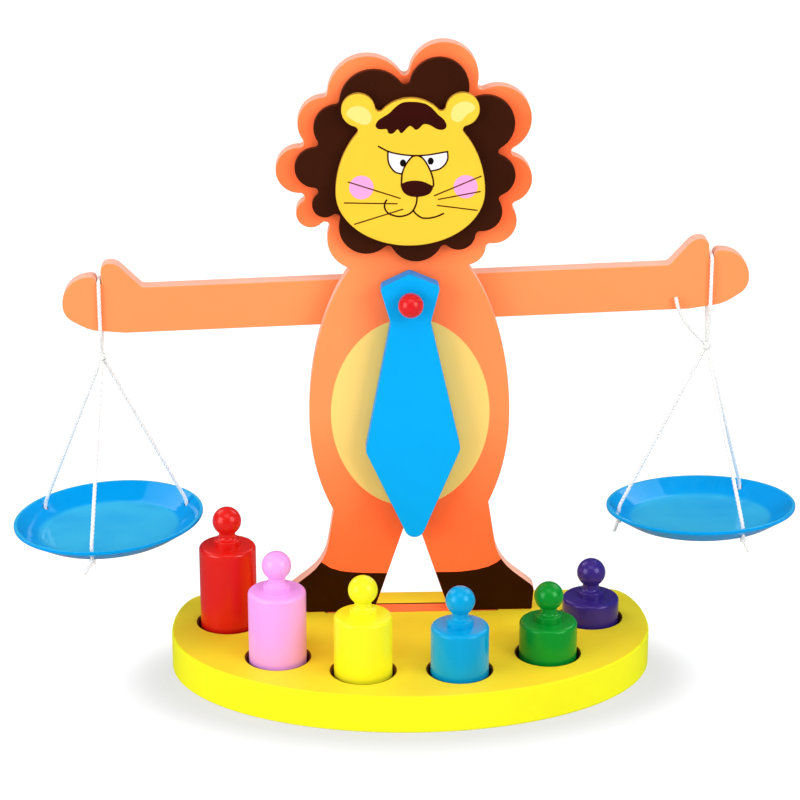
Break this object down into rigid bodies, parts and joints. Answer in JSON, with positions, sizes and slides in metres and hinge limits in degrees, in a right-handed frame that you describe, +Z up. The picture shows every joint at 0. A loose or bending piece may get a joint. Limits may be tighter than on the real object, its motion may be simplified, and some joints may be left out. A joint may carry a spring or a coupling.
{
  "type": "wooden balance scale toy",
  "caption": "Wooden balance scale toy: a flat lion on a rounded base whose outstretched arms tilt on a chest peg, a pan hung on cords from each hand, and turned weights in sockets.",
  "frame": {"origin": "under the base, at the middle of its footprint", "axes": "+X to the right along the arms, +Y to the back, +Z up; the lion faces -Y"},
  "size_m": [0.3874, 0.1584, 0.3056],
  "materials": {
    "yellow_paint": "satin paint on board",
    "orange_paint": "satin paint on board",
    "brown_paint": "gloss paint on thin board",
    "gold_paint": "satin paint on thin board",
    "sky_paint": "satin paint on board",
    "scarlet_paint": "gloss paint on turned wood",
    "washer_plastic": "matte",
    "white_cord": "twisted cotton cord",
    "blue_plastic": "gloss",
    "red_weight_paint": "gloss paint on turned wood",
    "pink_weight_paint": "gloss paint on turned wood",
    "yellow_weight_paint": "gloss paint on turned wood",
    "blue_weight_paint": "gloss paint on turned wood",
    "green_weight_paint": "gloss paint on turned wood",
    "purple_weight_paint": "gloss paint on turned wood"
  },
  "bodies": {
    "stand": {"base": "yellow_paint", "base_plate": "yellow_paint", "lion_body": "orange_paint", "mane": "brown_paint", "face": "gold_paint"},
    "beam": {"arms": "orange_paint", "tie": "sky_paint", "pivot_peg": "scarlet_paint", "front_washer": "washer_plastic", "rear_washer": "washer_plastic"},
    "left_hanger": {"loop_left": "white_cord"},
    "left_knot": {"knot_left": "white_cord"},
    "left_pan": {"pan_left": "blue_plastic", "string_left_1": "white_cord", "string_left_2": "white_cord", "string_left_3": "white_cord"},
    "right_hanger": {"loop_right": "white_cord"},
    "right_knot": {"knot_right": "white_cord", "tail_right": "white_cord"},
    "right_pan": {"pan_right": "blue_plastic", "string_right_1": "white_cord", "string_right_2": "white_cord", "string_right_3": "white_cord"},
    "red_weight": {"weight_red": "red_weight_paint"},
    "pink_weight": {"weight_pink": "pink_weight_paint"},
    "yellow_weight": {"weight_yellow": "yellow_weight_paint"},
    "blue_weight": {"weight_blue": "blue_weight_paint"},
    "green_weight": {"weight_green": "green_weight_paint"},
    "purple_weight": {"weight_purple": "purple_weight_paint"}
  },
  "joints": [
    {"name": "beam_tilt", "type": "hinge", "parent": "stand", "child": "beam", "pos_m": [0, 0.0411, 0.1827], "axis": [0, -1, 0], "range_deg": [-11.9, 8.1]},
    {"name": "left_hanger_turn", "type": "hinge", "parent": "beam", "child": "left_hanger", "pos_m": [-0.14831, 0.05115, 0.18824], "axis": [0, -1, 0], "range_deg": [-8.1, 11.9]},
    {"name": "right_hanger_turn", "type": "hinge", "parent": "beam", "child": "right_hanger", "pos_m": [0.14562, 0.05115, 0.19799], "axis": [0, -1, 0], "range_deg": [-8.1, 11.9]},
    {"name": "left_pan_swing", "type": "hinge", "parent": "left_hanger", "child": "left_knot", "pos_m": [-0.14831, 0.05115, 0.14924], "axis": [0, -1, 0], "range_deg": [-12, 1.5]},
    {"name": "left_pan_sway", "type": "hinge", "parent": "left_knot", "child": "left_pan", "pos_m": [-0.14831, 0.05115, 0.14924], "axis": [1, 0, 0], "range_deg": [-10, 10]},
    {"name": "right_pan_swing", "type": "hinge", "parent": "right_hanger", "child": "right_knot", "pos_m": [0.14562, 0.05115, 0.15149], "axis": [0, 1, 0], "range_deg": [-12, 1.5]},
    {"name": "right_pan_sway", "type": "hinge", "parent": "right_knot", "child": "right_pan", "pos_m": [0.14562, 0.05115, 0.15149], "axis": [1, 0, 0], "range_deg": [-10, 10]},
    {"name": "red_weight_lift", "type": "slide", "parent": "stand", "child": "red_weight", "axis": [0, 0, 1], "range_m": [0, 0.06]},
    {"name": "pink_weight_lift", "type": "slide", "parent": "stand", "child": "pink_weight", "axis": [0, 0, 1], "range_m": [0, 0.06]},
    {"name": "yellow_weight_lift", "type": "slide", "parent": "stand", "child": "yellow_weight", "axis": [0, 0, 1], "range_m": [0, 0.06]},
    {"name": "blue_weight_lift", "type": "slide", "parent": "stand", "child": "blue_weight", "axis": [0, 0, 1], "range_m": [0, 0.06]},
    {"name": "green_weight_lift", "type": "slide", "parent": "stand", "child": "green_weight", "axis": [0, 0, 1], "range_m": [0, 0.06]},
    {"name": "purple_weight_lift", "type": "slide", "parent": "stand", "child": "purple_weight", "axis": [0, 0, 1], "range_m": [0, 0.06]}
  ],
  "couplings": [
    {"joint": "left_hanger_turn", "follows": "beam_tilt", "ratio": -1},
    {"joint": "right_hanger_turn", "follows": "beam_tilt", "ratio": -1}
  ]
}
